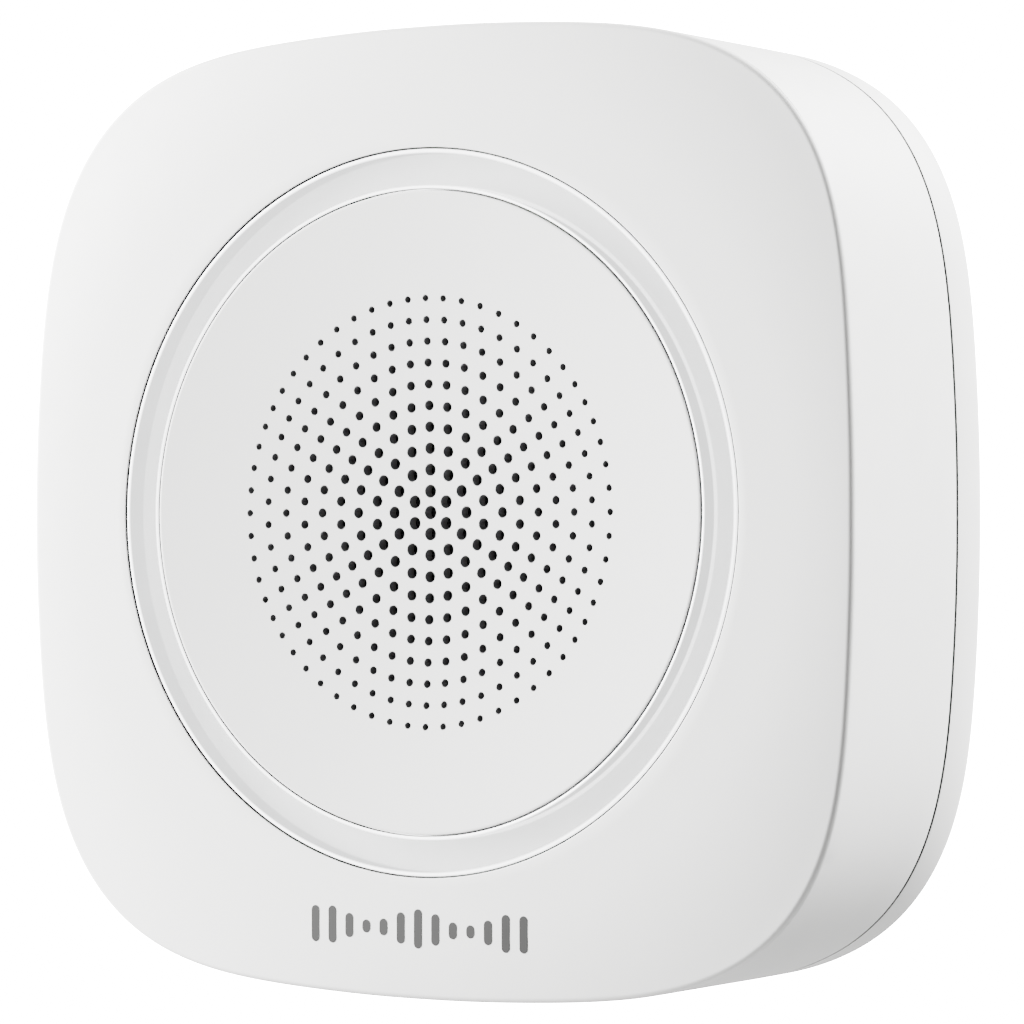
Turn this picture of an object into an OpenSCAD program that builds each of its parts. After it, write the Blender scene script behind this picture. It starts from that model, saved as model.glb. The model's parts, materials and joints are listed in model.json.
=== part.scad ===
// Wireless indoor alarm siren on a wall plate.
// Frame: X right, Z up, +Y into the wall.
// The origin is the centre of the wall face, so the siren lies at Y < 0.

/* [Housing] */
// Width and height of the housing
body_w = 113.6; // [113:0.2:116]
// Depth from the wall to the front rim
body_d = 33.5; // [33.5:0.5:36]
// Squareness of the outline: 2 is a circle, more is squarer
squareness = 2.64; // [2.56:0.02:2.7]
// How much further the corners reach out, as a share of their distance from the centre
corner_reach = 0.074; // [0.066:0.002:0.08]
// Wall thickness of the mouldings
wall = 2; // [1.8:0.1:2.2]
// Depth of the wall plate's rim, from the wall to the seam
plate_rim = 7.45; // [7.3:0.05:7.6]
// Width of the seam between the housing and the wall plate
seam = 0.35; // [0.35:0.05:0.5]

/* [Front] */
// Outer radius of the light ring
ring_outer_r = 42.35; // [41.8:0.05:42.6]
// Inner radius of the light ring
ring_inner_r = 37.65; // [37.6:0.05:37.8]
// Gap around the light ring and the grille
front_gap = 0.15; // [0.1:0.05:0.2]
// Depth of the dished grille at its centre
dish_depth = 2.7; // [2:0.1:2.8]
// Rings of holes around the centre hole
hole_rings = 10; // [4:1:10]
// Distance from one ring of holes to the next
hole_pitch = 2.5; // [2.2:0.1:2.5]
// Diameter of the centre hole
centre_hole_d = 1.6; // [1.4:0.05:1.65]
// Diameter of the outermost holes
outer_hole_d = 0.8; // [0.7:0.02:0.9]

/* [Hinge and locking screw] */
// Distance of the hooks' pivot from the wall
pivot_y = 2; // [1.9:0.05:2.1]
// Distance of the locking screw from the wall
lock_y = 11.8; // [11.6:0.1:12]

/* [Power] */
// Diameter of a lithium cell
cell_d = 17; // [16.6:0.1:17]
// Length of a lithium cell, with its nub
cell_len = 34.5; // [34:0.1:34.5]

/* [Wall screws] */
// Distance between the wall screws, across and up
screw_pitch = 56; // [50:1:58]
// Diameter of the wall screws' holes
screw_hole_d = 4.4; // [4:0.1:4.8]

/* [Hidden] */

$fn = 96;
eps = 0.01;

// Housing, in Y from the wall
half_w = body_w / 2;
front_y = -body_d;
plate_front_y = -plate_rim;
cover_back_y = -plate_rim - seam;
plate_floor = 2.5;
face_t = 2;
face_back_y = front_y + face_t;
cover_draft = 0.27;
rebate = 0.7;
lip = 0.5;
edge_round = 0.55;
dome_drop = 1.42;
dome_start_r = 49.3;
dome_end_r = 67;

// Light ring stack; the ring's flange sits in a seat behind the thin edges of the openings
seat_y = front_y + 1.1;
seat_r = 44.15;
flange_front_y = seat_y + 0.1;
flange_back_y = flange_front_y + 1.7;
diffuser_back_y = flange_back_y + 1.05;
reflector_back_y = diffuser_back_y + 3.3;
led_board_back_y = reflector_back_y + 1.2;
flange_outer_r = 44;
flange_inner_r = 36.5;
led_count = 12;
led_circle_r = (ring_outer_r + ring_inner_r) / 2;
tab_circle_r = 47.2;
tab_r = 3.5;

// Grille disc
disc_r = ring_inner_r - front_gap;
disc_t = 1.4;
dish_r = disc_r - 0.4;
dish_sphere_r = (dish_r * dish_r + dish_depth * dish_depth) / (2 * dish_depth);
dish_centre_y = front_y + dish_depth;
skirt_outer_r = 36.2;
skirt_inner_r = 34.6;
sounder_ear_r = 31;

// Sounder
sounder_r = 28;
sounder_front_y = dish_centre_y + 1.9;
sounder_back_y = -17.5;
plate_seat_y = -24;

// Chassis, boards and cells
chassis_inset = 2.7;
chassis_front_y = -10.8;
chassis_back_y = -9.3;
pocket_x = 31.4;
pocket_z = 43.4;
pocket_t = 1.4;
pocket_back_y = -5.4;
board_x = 29;
board_z = 41;
board_front_y = -14.4;
board_back_y = -12.8;
board_hole = [26, 37.5];
cell_x = 40.2;
cell_y = -12.9;
cell_r = cell_d / 2;
tray_x = 30.2;
tray_z = 39.5;
tray_t = 1.3;
tray_front_y = -22.9;
nub_len = 1.2;
chassis_boss = [36, 43];

// Hooks at the top and lock at the bottom
pivot_z = half_w - 3.5;
hook_x = 11.5;
hook_w = 7;
hook_gap = 1;
nib_r = 0.6;
nib_gap = 0.3;
lock_tab_w = 10;
lock_pad_w = 13;
lock_z = -half_w;
lock_head_z = lock_z + 1.55;
insert_z = lock_z + 4.4;
insert_len = 3.3;

// Switches on the back of the main board: centres as [x, z]
tamper_at = [12, -20];
enrol_at = [-14, -24];
power_at = [-12, 20];

white = "whitesmoke";

// ---- Helpers ----

// Distance from the centre to the outline at an angle
function outline_r(angle) =
    half_w * (1 + corner_reach * pow(sin(2 * angle), 4))
    / pow(pow(abs(cos(angle)), squareness) + pow(abs(sin(angle)), squareness), 1 / squareness);

function outline_point(angle) = outline_r(angle) * [cos(angle), sin(angle)];

// The rounded square, moved inwards by inset; its points stand closer together at the corners
function outline(inset) =
    let (steps = 60, crowding = 8)
    [for (i = [0:steps - 1])
        let (
            even = 360 * i / steps,
            angle = even + crowding * sin(4 * even),
            along = outline_point(angle + 1) - outline_point(angle - 1),
            outward = [along[1], -along[0]] / norm(along)
        )
        outline_point(angle) - inset * outward];

// Extrudes a sketch of X and Z from y0 to y1
module slab(y0, y1) {
    translate([0, y1, 0]) rotate([90, 0, 0]) linear_extrude(y1 - y0) children();
}

module outline_slab(y0, y1, inset) {
    slab(y0, y1) polygon(outline(inset));
}

// A round rod along Y
module rod(x, z, y0, y1, r) {
    translate([x, y1, z]) rotate([90, 0, 0]) cylinder(h = y1 - y0, r = r);
}

// A ring about Y
module annulus(y0, y1, inner_r, outer_r) {
    difference() {
        rod(0, 0, y0, y1, outer_r);
        rod(0, 0, y0 - 1, y1 + 1, inner_r);
    }
}

// A box given by its low and high corners
module block(lo, hi) {
    translate(lo) cube(hi - lo);
}

// A profile of [r, y] points turned about the Y axis
module turned(profile) {
    rotate([90, 0, 0]) rotate_extrude() polygon([for (p = profile) [p[0], -p[1]]]);
}

// Extrudes a sketch of Y and Z along X, centred on x
module across(x, w) {
    translate([x - w / 2, 0, 0]) rotate([90, 0, 90]) linear_extrude(w) children();
}

// Copies to four corners at +-x, +-z
module four(x, z) {
    for (sx = [-1, 1], sz = [-1, 1]) translate([sx * x, 0, sz * z]) children();
}

// Copies at equal angles on a circle about Y, the first at angle start
module around(count, r, start = 0) {
    for (i = [0:count - 1]) rotate([0, -(start + 360 * i / count), 0]) translate([r, 0, 0]) children();
}

// A pan-head screw along Y, its head's back at y, shank running towards the front
module pan_screw(y, head_r, head_h, shank_r, shank_len) {
    difference() {
        union() {
            rod(0, 0, y - head_h, y, head_r);
            rod(0, 0, y - head_h - shank_len, y - head_h + eps, shank_r);
        }
        cross_slot(y, head_r, head_h);
    }
}

module cross_slot(y, head_r, head_h) {
    for (a = [0, 90]) rotate([0, a, 0])
        block([-head_r * 0.62, y - head_h * 0.55, -head_r * 0.14], [head_r * 0.62, y + 1, head_r * 0.14]);
}

function direction(v) = v / norm(v);

// A round wire of radius r along a path; ref is never parallel to it
module wire(path, r, ref, sides = 6) {
    last = len(path) - 1;
    function heading(i) = direction(path[min(i + 1, last)] - path[max(i - 1, 0)]);
    points = [for (i = [0:last]) let (t = heading(i), u = direction(cross(ref, t)), v = cross(t, u))
        for (s = [0:sides - 1]) path[i] + r * (cos(360 * s / sides) * u + sin(360 * s / sides) * v)];
    skin = [for (i = [0:last - 1]) for (s = [0:sides - 1]) let (n = (s + 1) % sides)
        [(i + 1) * sides + s, (i + 1) * sides + n, i * sides + n, i * sides + s]];
    start = [[for (s = [0:sides - 1]) s]];
    end = [[for (s = [sides - 1:-1:0]) last * sides + s]];
    polyhedron(points, concat(skin, start, end));
}

// A coil about Z from z0 to z1, its radius going from r0 to r1
function coil(z0, z1, r0, r1, turns, steps = 14) =
    [for (i = [0:turns * steps]) let (t = i / (turns * steps), r = r0 + (r1 - r0) * t)
        [r * cos(360 * turns * t), r * sin(360 * turns * t), z0 + (z1 - z0) * t]];

// A cubic curve through its two ends, pulled towards the two middle points
function curve(p, steps = 20) =
    [for (i = [0:steps]) let (t = i / steps, s = 1 - t)
        s * s * s * p[0] + 3 * s * s * t * p[1] + 3 * s * t * t * p[2] + t * t * t * p[3]];

// ---- Wall plate and its lock ----

module plate_shell() {
    front_edge = 0.3;
    difference() {
        hull() {
            outline_slab(plate_front_y, plate_front_y + 0.1, front_edge);
            outline_slab(plate_front_y + front_edge, -2, 0);
            outline_slab(-0.95, -0.8, 0.45);
            outline_slab(-0.2, 0, 1.5);
        }
        outline_slab(plate_front_y - 1, -plate_floor, wall);
    }
}

// A rib in front of the hook's nib, and a ledge that carries the hook
module hook_rib_and_ledge(x) {
    w = hook_w / 2 + hook_gap;
    rib_back_y = -pivot_y - nib_r - nib_gap;
    rib_t = 2.1;
    intersection() {
        block([x - w, rib_back_y - rib_t, pivot_z + 0.3], [x + w, rib_back_y, half_w]);
        outline_slab(plate_front_y, 0, wall / 2);
    }
    ledge_front_y = -4.2;
    ledge_z = [pivot_z - 8, pivot_z - 5.6];
    block([x - w, ledge_front_y, ledge_z[0]], [x + w, -plate_floor + eps, ledge_z[1]]);
}

module lock_tab() {
    tip_y = -15.2;
    root_y = -plate_floor + eps;
    across(0, lock_tab_w) polygon([
        [root_y, lock_z + 1.4], [plate_front_y, lock_z + 1.4], [plate_front_y, lock_z + 3.4],
        [tip_y, lock_z + 4.6], [tip_y, lock_z + 8], [root_y, lock_z + 8.4]
    ]);
}

module plate_ribs() {
    rib_h = 1.2;
    rib_t = 1.2;
    upright_x = 20;
    upright_z = 44;
    level_x = 31;
    level_z = 36;
    boss_r = 5.6;
    front = -plate_floor - rib_h;
    back = -plate_floor + eps;
    for (s = [-1, 1]) {
        block([s * upright_x - rib_t / 2, front, -upright_z], [s * upright_x + rib_t / 2, back, upright_z]);
        block([-level_x, front, s * level_z - rib_t / 2], [level_x, back, s * level_z + rib_t / 2]);
    }
    four(screw_pitch / 2, screw_pitch / 2) rod(0, 0, front, back, boss_r);
}

// Openings that the housing's hooks drop into
module hook_slots() {
    w = hook_w / 2 + hook_gap;
    for (s = [-1, 1])
        block([s * hook_x - w, -plate_floor - eps, pivot_z - 5.4],
            [s * hook_x + w, 1, pivot_z + nib_r + nib_gap]);
}

// Bore for the brass insert, and the screw's clearance beyond it
module lock_bore() {
    bore_r = 2.2;
    clearance_r = 1.6;
    start_z = lock_z + 3;
    translate([0, -lock_y, start_z]) cylinder(h = insert_z + insert_len + 0.1 - start_z, r = bore_r);
    translate([0, -lock_y, start_z]) cylinder(h = 8, r = clearance_r);
}

module wall_plate() {
    counterbore_r = 4.3;
    counterbore_y = -plate_floor - 0.2;
    tamper_hole_r = 3.2;
    color(white) difference() {
        union() {
            plate_shell();
            plate_ribs();
            lock_tab();
            for (s = [-1, 1]) hook_rib_and_ledge(s * hook_x);
        }
        four(screw_pitch / 2, screw_pitch / 2) {
            rod(0, 0, -10, 1, screw_hole_d / 2);
            rod(0, 0, -10, counterbore_y, counterbore_r);
        }
        rod(tamper_at[0], tamper_at[1], -10, 1, tamper_hole_r);
        hook_slots();
        lock_bore();
    }
}

module lock_insert() {
    color("goldenrod") difference() {
        translate([0, -lock_y, insert_z]) cylinder(h = insert_len, r = 2.15);
        translate([0, -lock_y, insert_z - 1]) cylinder(h = insert_len + 2, r = 1.5);
    }
}

module lock_screw() {
    head_h = 1.4;
    color("silver") difference() {
        union() {
            translate([0, -lock_y, lock_head_z - head_h]) cylinder(h = head_h, r = 2.6);
            translate([0, -lock_y, lock_head_z - eps]) cylinder(h = 6.6, r = 1.45);
        }
        for (a = [0, 90]) translate([0, -lock_y, lock_head_z - head_h - 1]) rotate([0, 0, a])
            block([-1.6, -0.35, 0], [1.6, 0.35, 1.8]);
    }
}

// ---- Front cover ----

// Front surface: flat near the light ring, falling away towards the corners
module dome() {
    steps = 6;
    rim = [for (i = [0:steps]) let (t = i / steps, r = dome_start_r + (dome_end_r - dome_start_r) * t)
        [r, front_y + dome_drop * t * t]];
    turned(concat([[0, front_y]], rim, [[dome_end_r + 3, front_y + dome_drop + 0.4],
        [dome_end_r + 3, 0], [0, 0]]));
}

module cover_outer() {
    intersection() {
        hull() {
            outline_slab(cover_back_y - 0.02, cover_back_y, 0);
            outline_slab(front_y + 1.2, front_y + 1.22, cover_draft);
            outline_slab(front_y + edge_round, front_y + edge_round + 0.02, cover_draft + 0.12);
            outline_slab(front_y - 0.02, front_y, cover_draft + edge_round + 0.2);
        }
        dome();
    }
}

module cover_cavity() {
    hull() {
        outline_slab(cover_back_y, cover_back_y + 1, wall);
        outline_slab(face_back_y, face_back_y + 0.02, wall + 0.6);
    }
    outline_slab(cover_back_y - rebate, cover_back_y + 1, lip);
}

// Wedge inside the bottom wall that the locking screw clamps against the plate's tab
module lock_pad() {
    back_y = cover_back_y - rebate;
    tip_y = -15.5;
    across(0, lock_pad_w) polygon([
        [back_y, lock_z + 1.4], [tip_y, lock_z + 1.4], [tip_y, lock_z + 4.3], [back_y, lock_z + 3.15]
    ]);
}

module lock_notch() {
    low = lock_z - 3;
    for (cut = [[1.75, lock_z + 5], [3, lock_head_z]]) {
        translate([0, -lock_y, low]) cylinder(h = cut[1] - low, r = cut[0]);
        block([-cut[0], -lock_y, low], [cut[0], cover_back_y + 1, cut[1]]);
    }
}

module front_cover() {
    chassis_boss_r = 3.2;
    chassis_pilot_r = 1.25;
    chassis_pilot_len = 12;
    tab_boss_r = 2.8;
    tab_boss_y = reflector_back_y - 1;
    tab_pilot_r = 1.05;
    tab_pilot_len = 3.5;
    color(white) difference() {
        union() {
            difference() {
                cover_outer();
                cover_cavity();
            }
            four(chassis_boss[0], chassis_boss[1])
                rod(0, 0, face_back_y - eps, chassis_front_y, chassis_boss_r);
            around(4, tab_circle_r, 45) rod(0, 0, face_back_y - eps, tab_boss_y, tab_boss_r);
            lock_pad();
        }
        rod(0, 0, front_y - 1, face_back_y + 1, ring_outer_r + front_gap);
        rod(0, 0, seat_y, face_back_y + 1, seat_r);
        four(chassis_boss[0], chassis_boss[1])
            rod(0, 0, chassis_front_y - chassis_pilot_len, 0, chassis_pilot_r);
        around(4, tab_circle_r, 45) rod(0, 0, tab_boss_y - tab_pilot_len, 0, tab_pilot_r);
        lock_notch();
    }
}

// ---- Light ring ----

module light_ring() {
    bevel = 0.25;
    color("white", 0.4) turned([
        [ring_inner_r, front_y + bevel], [ring_inner_r + bevel, front_y], [ring_outer_r - bevel, front_y],
        [ring_outer_r, front_y + bevel], [ring_outer_r, flange_front_y], [flange_outer_r, flange_front_y],
        [flange_outer_r, flange_back_y], [flange_inner_r, flange_back_y], [flange_inner_r, flange_front_y],
        [ring_inner_r, flange_front_y]
    ]);
}

module diffuser_ring() {
    depth_play = 0.05;
    side_play = 0.1;
    color("white") annulus(flange_back_y + depth_play, diffuser_back_y, flange_inner_r + side_play,
        flange_outer_r - side_play);
}

module reflector_ring() {
    inner_r = flange_inner_r;
    outer_r = 44.2;
    rib = 1.4;
    color("white") difference() {
        union() {
            annulus(diffuser_back_y + 0.05, reflector_back_y, inner_r, outer_r);
            around(4, tab_circle_r, 45) rod(0, 0, reflector_back_y - 1, reflector_back_y, tab_r);
        }
        annulus(diffuser_back_y - 1, reflector_back_y - 1, inner_r + rib, outer_r - rib);
        around(led_count, led_circle_r, 15) rod(0, 0, reflector_back_y - 2, reflector_back_y + 1, 2.4);
        around(4, tab_circle_r, 45) rod(0, 0, reflector_back_y - 2, reflector_back_y + 1, 1.3);
    }
}

module led_board() {
    color("white") difference() {
        union() {
            annulus(reflector_back_y, led_board_back_y, flange_inner_r, 44.2);
            around(4, tab_circle_r, 45) rod(0, 0, reflector_back_y, led_board_back_y, tab_r);
        }
        around(4, tab_circle_r, 45) rod(0, 0, reflector_back_y - 1, led_board_back_y + 1, 1.3);
    }
}

module strobe_leds() {
    color("khaki") around(led_count, led_circle_r, 15) {
        block([-1.4, reflector_back_y - 0.8, -1.6], [1.4, reflector_back_y, 1.6]);
        rod(0, 0, reflector_back_y - 1.1, reflector_back_y - 0.8, 1.1);
    }
}

module led_board_screws() {
    color("silver") around(4, tab_circle_r, 45) pan_screw(led_board_back_y + 1.2, 2.1, 1.2, 1, 5.6);
}

// ---- Grille and sounder ----

// Holes on ring n stand at 60/n degrees, drawn half way towards a hexagon's even steps
function hole_angle(n, i) =
    let (
        side = floor(i / n),
        t = (i - side * n) / n,
        even = 60 * t,
        hexagonal = atan2(t * sqrt(3) / 2, 1 - t / 2)
    )
    90 + 60 * side + even + (hexagonal - even) * 0.475;

module grille_holes() {
    rod(0, 0, front_y - 1, dish_centre_y + 3, centre_hole_d / 2);
    for (n = [1:hole_rings]) for (i = [0:6 * n - 1]) {
        a = hole_angle(n, i);
        d = centre_hole_d + (outer_hole_d - centre_hole_d) * n / hole_rings;
        rod(n * hole_pitch * cos(a), n * hole_pitch * sin(a), front_y - 1, dish_centre_y + 3, d / 2);
    }
}

module dish_sphere(r) {
    translate([0, dish_centre_y - dish_sphere_r, 0]) sphere(r = r, $fn = 360);
}

module grille_disc() {
    rim_chamfer = 0.25;
    ear_r = 2.2;
    ear_hole_r = 0.85;
    ear_front_y = front_y + 1.2;
    ear_back_y = sounder_front_y + 1.4;
    ear_hole_front_y = dish_centre_y + 0.2;
    tab_y = [led_board_back_y + 0.05, led_board_back_y + 0.75];
    tab_half_w = 3;
    tab_reach = 0.8;
    color(white) difference() {
        union() {
            intersection() {
                rod(0, 0, front_y, dish_centre_y + 3, skirt_outer_r - 0.5);
                dish_sphere(dish_sphere_r + disc_t);
            }
            turned([
                [skirt_inner_r, front_y], [disc_r - rim_chamfer, front_y], [disc_r, front_y + rim_chamfer],
                [disc_r, seat_y], [skirt_outer_r, seat_y], [skirt_outer_r, tab_y[1]],
                [skirt_inner_r, tab_y[1]]
            ]);
            around(3, sounder_ear_r, 90) rod(0, 0, ear_front_y, ear_back_y, ear_r);
            around(4, skirt_inner_r, 45)
                block([0.2, tab_y[0], -tab_half_w],
                    [skirt_outer_r - skirt_inner_r + tab_reach, tab_y[1], tab_half_w]);
        }
        dish_sphere(dish_sphere_r);
        grille_holes();
        around(3, sounder_ear_r, 90) rod(0, 0, ear_hole_front_y, 0, ear_hole_r);
    }
}

module dust_mesh() {
    color("black") rod(0, 0, sounder_front_y - 0.22, sounder_front_y - 0.02, 24.4);
}

module sounder_gasket() {
    color("dimgray") annulus(sounder_front_y - 1.65, sounder_front_y - 0.02, 24.5, 27.5);
}

module sounder_cap() {
    color("black") difference() {
        annulus(sounder_front_y, sounder_front_y + 1, 6, 26.4);
        around(6, 15, 0) rod(0, 0, sounder_front_y - 1, sounder_front_y + 2, 1.5);
    }
}

module sounder_cup() {
    ear_y = [sounder_front_y + 1.4, sounder_front_y + 2.9];
    lead_hole_r = 2.2;
    color("black") difference() {
        union() {
            rod(0, 0, sounder_front_y, sounder_back_y, sounder_r);
            around(3, sounder_ear_r, 90) rod(0, 0, ear_y[0], ear_y[1], 3.2);
        }
        rod(0, 0, sounder_front_y - 1, sounder_front_y + 1.05, 26.5);
        rod(0, 0, sounder_front_y - 1, plate_seat_y, 24.6);
        rod(0, 0, sounder_front_y - 1, sounder_back_y - 1.5, 22);
        around(3, sounder_ear_r, 90) rod(0, 0, ear_y[0] - 5, ear_y[1] + 5, 1.1);
        around(2, 6, -90) rod(0, 0, sounder_back_y - 3, sounder_back_y + 1, lead_hole_r);
        around(3, sounder_ear_r, 90) rod(0, 0, sounder_front_y - 1, ear_y[0], 2.4);
    }
}

module sounder_screws() {
    color("silver") around(3, sounder_ear_r, 90) pan_screw(sounder_front_y + 4.1, 1.9, 1.2, 0.8, 3.6);
}

module piezo_plate() {
    color("gold") rod(0, 0, plate_seat_y - 0.35, plate_seat_y - 0.05, 24.4);
}

module piezo_ceramic() {
    color("gainsboro") rod(0, 0, plate_seat_y - 0.05, plate_seat_y + 0.2, 16);
}

// ---- Leads and connectors ----

sounder_plug_at = [-12, -35];
led_plug_at = [12, -35];
lead_r = 0.55;
red_route = [[0, -18.9, 6], [0, -14.9, 6], [-10, -15.8, -6], [-12.8, -16.9, -31]];
black_route = [[0, -18.9, -6], [0, -15, -6], [-8, -16.2, -14], [-11.2, -16.9, -31]];

module sounder_lead_red() {
    color("red") wire(curve(red_route), lead_r, [1, 0, 0], 8);
}

module sounder_lead_black() {
    color("black") wire(curve(black_route), lead_r, [1, 0, 0], 8);
}

// A three-sided connector shroud on the front of the board, open upwards and towards the front
module socket(at, w) {
    shroud_t = 0.8;
    low = [at[0] - w / 2, board_front_y - 4.2, at[1] - 4];
    high = [at[0] + w / 2, board_front_y, at[1] + 2];
    difference() {
        block(low, high);
        block(low + [shroud_t, -1, shroud_t], high + [-shroud_t, -shroud_t - 0.1, 1]);
    }
}

module plug(at, w, pins) {
    pin_pitch = 1.6;
    low = [at[0] - w / 2 + 1, board_front_y - 4, at[1] - 3];
    high = [at[0] + w / 2 - 1, board_front_y - 1, at[1] + 4.2];
    difference() {
        block(low, high);
        for (i = [0:pins - 1]) translate([at[0] + (i - (pins - 1) / 2) * pin_pitch, 0, 0])
            translate([0, board_front_y - 2.5, at[1] + 3]) cylinder(h = 3, r = lead_r + 0.05);
    }
}

module sounder_plug() {
    color("ivory") plug(sounder_plug_at, 6, 2);
}

module sounder_socket() {
    color("ivory") socket(sounder_plug_at, 6);
}

module led_leads() {
    for (i = [0:2]) color(["red", "royalblue", "black"][i])
        wire(curve([
            [24 + 1.5 * i, led_board_back_y + 0.55, -31.5 + 1.1 * i], [24 + 1.5 * i, -17.5, -30 + i],
            [led_plug_at[0] + (i - 1) * 1.6, -15.8, -22], [led_plug_at[0] + (i - 1) * 1.6, -16.9, -31]
        ]), 0.45, [1, 0, 0], 8);
}

module led_plug() {
    color("ivory") plug(led_plug_at, 7.6, 3);
}

module led_socket() {
    color("ivory") socket(led_plug_at, 7.6);
}

// ---- Main board ----

module main_board() {
    color("darkgreen") difference() {
        slab(board_front_y, board_back_y) difference() {
            square([2 * board_x, 2 * board_z], center = true);
            for (sx = [-1, 1], sz = [-1, 1])
                translate([sx * board_x, sz * board_z]) rotate(45) square(4, center = true);
        }
        four(board_hole[0], board_hole[1]) rod(0, 0, -20, -10, 1.3);
    }
}

module board_screws() {
    color("silver") four(board_hole[0], board_hole[1])
        mirror([0, 1, 0]) pan_screw(-board_front_y + 1.2, 2.2, 1.2, 1, 5);
}

module radio_can() {
    color("silver") difference() {
        block([-8, board_back_y, 26], [10, board_back_y + 2.4, 39]);
        for (x = [-5:3:7], z = [29:3.5:36]) rod(x, z, board_back_y + 2, board_back_y + 3, 0.4);
    }
}

// Sprung helical aerial above the board's top edge
module antenna() {
    color("goldenrod") translate([0, -14.6, 46.5]) rotate([0, 90, 0])
        wire(coil(-8, 8, 2.3, 2.3, 9, 12), 0.4, [0, 0, 1]);
    color("goldenrod") block([-8.7, -15, 41.2], [-7.9, -14.2, 44.4]);
}

module controller_chip() {
    color("black") block([-5, board_back_y, -4], [5, board_back_y + 1.2, 6]);
}

module audio_driver_chip() {
    color("black") block([14, board_back_y, 4], [19, board_back_y + 1.2, 9]);
}

module boost_coil() {
    color("dimgray") difference() {
        rod(-14, 35, board_front_y - 7, board_front_y, 4.2);
        translate([-14, 0, 35]) annulus(board_front_y - 6, board_front_y - 1.2, 3.2, 6);
    }
}

module capacitors() {
    for (x = [2, 12]) color("steelblue") {
        rod(x, 35, board_front_y - 7.4, board_front_y, 3.15);
    }
}

// Chip resistors and capacitors in rows on the back of the board, clear of the switches
module chip_parts() {
    clear_r = 6;
    color("tan") for (x = [-22:4:22], z = [-34, -14, 12])
        if (norm([x, z] - tamper_at) > clear_r && norm([x, z] - enrol_at) > clear_r)
            block([x - 0.6, board_back_y, z - 1], [x + 0.6, board_back_y + 0.6, z + 1]);
}

// ---- Chassis ----

module tray_sketch(inset, x, z) {
    intersection() {
        polygon(outline(inset));
        for (s = [-1, 1]) translate([s * (x + 30), 0]) square([60, 2 * z], center = true);
    }
}

// J-shaped finger with a round nib that turns behind the plate's rib
module hook(x) {
    front = -pivot_y - nib_r;
    back = -pivot_y + nib_r;
    across(x, hook_w) {
        polygon([
            [chassis_back_y - eps, pivot_z - 7.9], [chassis_back_y - eps, pivot_z - 5.2],
            [front, pivot_z - 2.7], [front, pivot_z], [back, pivot_z], [back, pivot_z - 4.2],
            [-4.2, pivot_z - 5.3]
        ]);
        translate([-pivot_y, pivot_z]) circle(r = nib_r);
    }
}

module rear_chassis() {
    color("gainsboro") difference() {
        union() {
            outline_slab(chassis_front_y, chassis_back_y, chassis_inset);
            block([-pocket_x, chassis_front_y, -pocket_z], [pocket_x, pocket_back_y, pocket_z]);
            slab(tray_front_y, chassis_back_y) tray_sketch(chassis_inset, tray_x, tray_z);
            for (s = [-1, 1]) hook(s * hook_x);
        }
        block([-pocket_x + pocket_t, chassis_front_y - 1, -pocket_z + pocket_t],
            [pocket_x - pocket_t, pocket_back_y - pocket_t, pocket_z - pocket_t]);
        slab(tray_front_y + tray_t, 0) tray_sketch(chassis_inset + tray_t, tray_x + tray_t, tray_z - tray_t);
        block([-8, -20, lock_z - 3], [8, 0, lock_z + 10.5]);
        four(chassis_boss[0], chassis_boss[1]) rod(0, 0, -20, 0, 1.5);
        rod(tamper_at[0], tamper_at[1], -20, 0, 2.08);
        rod(enrol_at[0], enrol_at[1], -20, 0, 2.1);
        block([power_at[0] - 3.6, -20, power_at[1] - 1.9], [power_at[0] + 3.6, 0, power_at[1] + 1.9]);
    }
    color("gainsboro") four(board_hole[0], board_hole[1]) difference() {
        rod(0, 0, board_back_y, pocket_back_y - pocket_t + eps, 2.4);
        rod(0, 0, board_back_y - 1, pocket_back_y - pocket_t - 1, 1.05);
    }
}

module chassis_screws() {
    color("silver") four(chassis_boss[0], chassis_boss[1]) pan_screw(chassis_back_y + 1.6, 2.6, 1.6, 1.2, 10);
}

// ---- Cells and contacts ----

// Places a cell's own frame, axis +Z from its nub, in tray side s and place n
module cell_place(s, n) {
    nub_z = n == 0 ? -37.7 : 0.4;
    translate([s * cell_x, cell_y, 0]) rotate([0, s > 0 ? 0 : 180, 0]) translate([0, 0, nub_z]) children();
}

module cell(s, n) {
    cell_place(s, n) {
        color("steelblue") translate([0, 0, nub_len]) cylinder(h = cell_len - nub_len, r = cell_r);
        color("silver") cylinder(h = nub_len + eps, r = 3);
    }
}

module cell_springs() {
    color("silver") for (s = [-1, 1], n = [0, 1])
        cell_place(s, n) wire(coil(cell_len + 0.4, cell_len + 2.4, 3, 5.6, 3), 0.35, [0, 0, 1]);
}

module cell_plates() {
    color("silver") for (s = [-1, 1]) translate([s * cell_x, cell_y, 0])
        for (z = [[-38.15, -37.75], [-0.35, 0.35], [37.75, 38.15]]) block([-6, -6, z[0]], [6, 6, z[1]]);
}

// ---- Switches ----

module tamper_switch() {
    color("black") translate([tamper_at[0], 0, tamper_at[1]]) {
        block([-3.1, board_back_y, -3.1], [3.1, board_back_y + 2, 3.1]);
        rod(0, 0, board_back_y + 1.9, board_back_y + 2.4, 1.2);
    }
}

module tamper_spring() {
    color("silver") translate([tamper_at[0], board_back_y + 2.3, tamper_at[1]]) rotate([-90, 0, 0])
        wire(coil(0, 0.9, 2.1, 1.7, 2), 0.2, [0, 0, 1]);
}

module tamper_plunger() {
    color("white") {
        rod(tamper_at[0], tamper_at[1], -8.5, -0.05, 2);
        rod(tamper_at[0], tamper_at[1], -9.2, -8.45, 3);
    }
}

module enrol_switch() {
    color("dimgray") translate([enrol_at[0], 0, enrol_at[1]]) difference() {
        block([-3, board_back_y, -3], [3, board_back_y + 3.5, 3]);
        rod(0, 0, board_back_y + 1, 0, 1.85);
    }
}

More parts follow.
